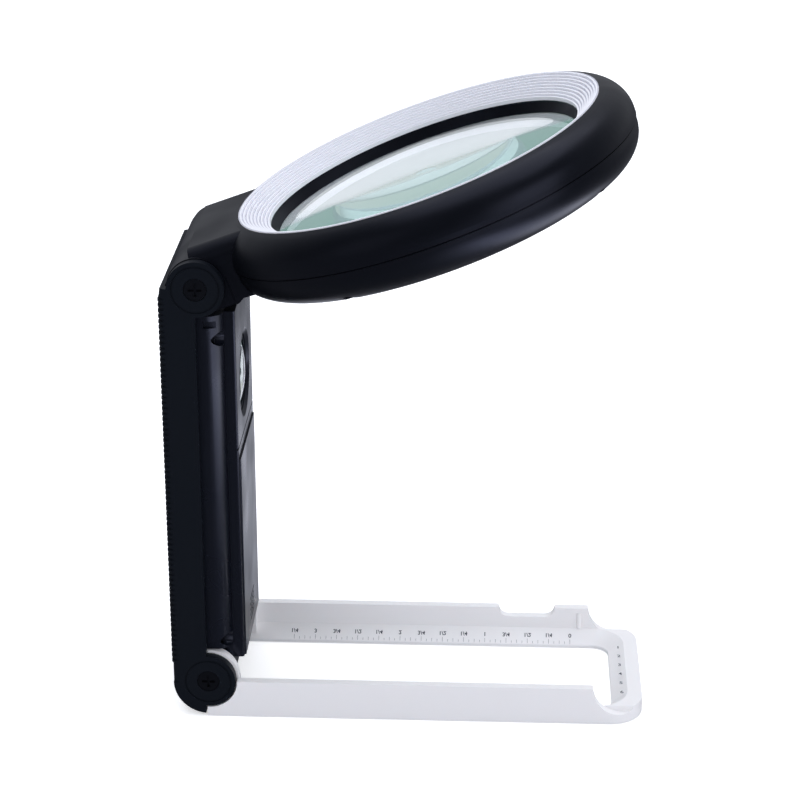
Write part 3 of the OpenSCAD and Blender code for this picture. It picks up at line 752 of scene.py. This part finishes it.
class Studio:
    """The floor, the lights, the sky and the camera."""

    WHITE = (1, 1, 1, 1)
    # The floor as glass and the eye see it: its colour, and its own glow in glass and to the eye
    PAPER = (0.9, 0.9, 0.9, 1)
    PAPER_GLOW = (0.05, 0.5)
    # The floor's colour in the light that it sends back
    BOUNCE = (0.75, 0.75, 0.77, 1)
    # The floor in gloss: its tint, its strength away from the patches, and the patches of painted glow that
    # show in gloss as painted reflections
    MIRRORED = (0.84, 0.87, 1, 1)
    DIM = 0.17
    CARDS = (
        PaleArea(middle=(-0.055, 0.22, 0.0), squeeze=(3.0, 1.0, 1.0), reach=0.24, strength=1.15),
        PaleArea(middle=(0.205, -0.22, 0.0), squeeze=(1.7, 0.42, 1.0), reach=0.19, strength=4.8),
    )
    # The floor's half width, and how far it lies under the frame
    FLOOR_HALF = 6.0
    FLOOR_DROP = 0.0002
    # The sky's strength in glass and to the eye
    SKY_CLEAR = (0.8, 1.05)
    # The sky's tint as light and in gloss, and its strength as light
    SKY_SOFT = (0.90, 0.93, 1, 1)
    FILL = 0.78
    # The sky's strength in gloss at the front and at the back, and where it goes from one to the other,
    # as Y of the way to it
    SKY_GLOSS = (0.03, 0.39)
    SKY_BAND = (-0.1, 0.7)
    # What the lamps point at
    AIM = (0, 0, 0.09)
    # The camera, from the calibration of the view: lens, sensor and place in mm, and the view's axes
    LENS_MM = 105.797
    SENSOR_MM = 36.0
    CAMERA_MM = (24.8023, -607.99, 327.526)
    RIGHT = (0.99896858, 0.04539812, -0.00088772)
    UP = (-0.01590137, 0.36808212, 0.92965730)
    BACK = (0.04253145, -0.92868432, 0.36842436)
    CLIP = (0.01, 50)
    PIXELS = 800

    def floor(self) -> None:
        """Lays a plain pale floor that keeps the shadow and melts into the white.

        Gloss sees it dim, with patches of painted glow that give painted reflections, and it is clear from
        below.
        """
        half = self.FLOOR_HALF
        data = bpy.data.meshes.new("floor")
        data.from_pydata(
            [(-half, -half, 0), (half, -half, 0), (half, half, 0), (-half, half, 0)], [], [(0, 1, 2, 3)]
        )
        material = bpy.data.materials.new("paper_white_matt")
        material.use_nodes = True
        g = Graph(material.node_tree)
        path = g.add("ShaderNodeLightPath")
        seen = g.add(
            "ShaderNodeMath", {"operation": "MAXIMUM"}, in0=path.outputs["Is Camera Ray"],
            in1=path.outputs["Is Transmission Ray"],
        )
        bounce = g.add("ShaderNodeBsdfDiffuse", Color=self.BOUNCE)
        place = g.add("ShaderNodeTexCoord").outputs["Object"]
        shade = None
        # Painted reflections: patches of the floor glow for gloss rays alone, brightest at their middles
        for area in self.CARDS:
            patch_glow = area.shade(g, place, self.DIM)
            shade = patch_glow if shade is None else g.add(
                "ShaderNodeMath", {"operation": "MAXIMUM"}, in0=shade, in1=patch_glow
            ).outputs["Value"]
        mirrored = g.add("ShaderNodeEmission", Color=self.MIRRORED, Strength=shade)
        paper = g.add("ShaderNodeBsdfDiffuse", Color=self.PAPER)
        bright = g.add(
            "ShaderNodeMapRange", Value=path.outputs["Is Camera Ray"], To_Min=self.PAPER_GLOW[0],
            To_Max=self.PAPER_GLOW[1],
        ).outputs["Result"]
        glow = g.add("ShaderNodeEmission", Color=self.WHITE, Strength=bright)
        sweep = g.add("ShaderNodeAddShader", in0=paper.outputs["BSDF"], in1=glow.outputs["Emission"])
        around = g.add(
            "ShaderNodeMixShader", in0=path.outputs["Is Glossy Ray"], in1=bounce.outputs["BSDF"],
            in2=mirrored.outputs["Emission"],
        )
        mix = g.add(
            "ShaderNodeMixShader", in0=seen.outputs["Value"], in1=around.outputs["Shader"],
            in2=sweep.outputs["Shader"],
        )
        below = g.add("ShaderNodeNewGeometry").outputs["Backfacing"]
        clear = g.add("ShaderNodeBsdfTransparent")
        mix = g.add(
            "ShaderNodeMixShader", in0=below, in1=mix.outputs["Shader"], in2=clear.outputs["BSDF"]
        )
        g.add("ShaderNodeOutputMaterial", Surface=mix.outputs["Shader"])
        data.materials.append(material)
        obj = bpy.data.objects.new("floor", data)
        obj.location.z = -self.FLOOR_DROP
        bpy.context.scene.collection.objects.link(obj)

    def sky(self) -> None:
        """Sets a white surround: white to the eye, softer in glass and as light, dim in gloss."""
        world = bpy.data.worlds.new("studio")
        bpy.context.scene.world = world
        world.use_nodes = True
        g = Graph(world.node_tree)
        path = g.add("ShaderNodeLightPath")
        seen = g.add(
            "ShaderNodeMath", {"operation": "MAXIMUM"}, in0=path.outputs["Is Camera Ray"],
            in1=path.outputs["Is Transmission Ray"],
        )
        place = g.add("ShaderNodeTexCoord").outputs["Generated"]
        way = g.add("ShaderNodeSeparateXYZ", Vector=place)
        behind = g.add(
            "ShaderNodeMapRange", Value=way.outputs["Y"], From_Min=self.SKY_BAND[0],
            From_Max=self.SKY_BAND[1], To_Min=self.SKY_GLOSS[0], To_Max=self.SKY_GLOSS[1],
        )
        level = g.add(
            "ShaderNodeMix", Factor=path.outputs["Is Glossy Ray"], A=self.FILL, B=behind.outputs["Result"]
        ).outputs["Result"]
        soft = g.add("ShaderNodeBackground", Color=self.SKY_SOFT, Strength=level)
        clear = g.add(
            "ShaderNodeMapRange", Value=path.outputs["Is Camera Ray"], To_Min=self.SKY_CLEAR[0],
            To_Max=self.SKY_CLEAR[1],
        ).outputs["Result"]
        plain = g.add("ShaderNodeBackground", Color=self.WHITE, Strength=clear)
        mix = g.add(
            "ShaderNodeMixShader", in0=seen.outputs["Value"], in1=soft.outputs["Background"],
            in2=plain.outputs["Background"],
        )
        g.add("ShaderNodeOutputWorld", Surface=mix.outputs["Shader"])

    def softbox(self, name: str, place: tuple, size: tuple, power: float, colour: str = "#f3f5ff") -> None:
        """Hangs one soft rectangular lamp that points at the instrument.

        Args:
            name: The lamp's name.
            place: Where it hangs.
            size: Its width and height.
            power: Its power in watts.
            colour: Its colour.
        """
        data = bpy.data.lights.new(name, "AREA")
        data.shape = "RECTANGLE"
        data.size, data.size_y = size
        data.energy = power
        data.color = linear(colour)[:3]
        obj = bpy.data.objects.new(name, data)
        obj.location = place
        way = Vector(self.AIM) - Vector(place)
        obj.rotation_euler = way.to_track_quat("-Z", "Y").to_euler()
        bpy.context.scene.collection.objects.link(obj)

    def lights(self) -> None:
        """Hangs the lamps."""
        self.softbox("top", place=(0.0, 0.2, 1.25), size=(1.3, 1.3), power=8.0)
        self.softbox("left", place=(-1.0, -1.0, 0.6), size=(0.9, 0.9), power=0.8)
        self.softbox("right", place=(1.1, -0.9, 0.55), size=(0.9, 0.9), power=5.0)

    def camera(self) -> None:
        """Sets the camera where the calibration of the view puts it."""
        data = bpy.data.cameras.new("camera")
        data.sensor_width = self.SENSOR_MM
        data.lens = self.LENS_MM
        data.clip_start, data.clip_end = self.CLIP
        obj = bpy.data.objects.new("camera", data)
        rot = Matrix((self.RIGHT, self.UP, self.BACK)).transposed().to_4x4()
        obj.matrix_world = Matrix.Translation(Vector(self.CAMERA_MM) * MM) @ rot
        bpy.context.scene.collection.objects.link(obj)
        bpy.context.scene.camera = obj

    def build(self) -> None:
        """Sets up the whole studio."""
        scene = bpy.context.scene
        scene.render.resolution_x = self.PIXELS
        scene.render.resolution_y = self.PIXELS
        scene.view_settings.view_transform = "Standard"
        self.floor()
        self.sky()
        self.lights()
        self.camera()
        LOG.info("studio ready")


def main() -> None:
    """Builds every sub-assembly in order."""
    logging.basicConfig(level=logging.INFO, format="%(message)s")
    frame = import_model()
    looks = Finishes()
    groups = (
        CadGroup(looks.white_abs, ("base_frame",)),
        CadGroup(looks.satin_abs, ("bore_liner",)),
        CadGroup(looks.stepped_abs, ("light_ring",)),
        CadGroup(looks.black_abs, ("rear_shell", "small_lens_ring", "switch_knob")),
        CadGroup(looks.gloss_abs, ("front_shell", "battery_door")),
        CadGroup(looks.matt_abs, ("upper_shell", "lower_shell")),
        CadGroup(looks.glass, ("small_lens", "main_lens")),
        CadGroup(looks.acrylic, ("led_window",)),
        CadGroup(
            looks.steel,
            ("cell_springs", "cell_contacts", "switch_body", "hinge_washers", "head_screws"),
        ),
        CadGroup(looks.black_steel, ("handle_screws", "base_hinge_screws", "head_hinge_screws")),
        CadGroup(looks.jacket, ("battery_cells",)),
        CadGroup(looks.board, ("led_board",)),
        CadGroup(looks.led, ("leds",)),
    )
    for group in groups:
        group.build(frame)
    Ruler(looks.ink).build()
    Studio().build()


if __name__ == "__main__":
    main()
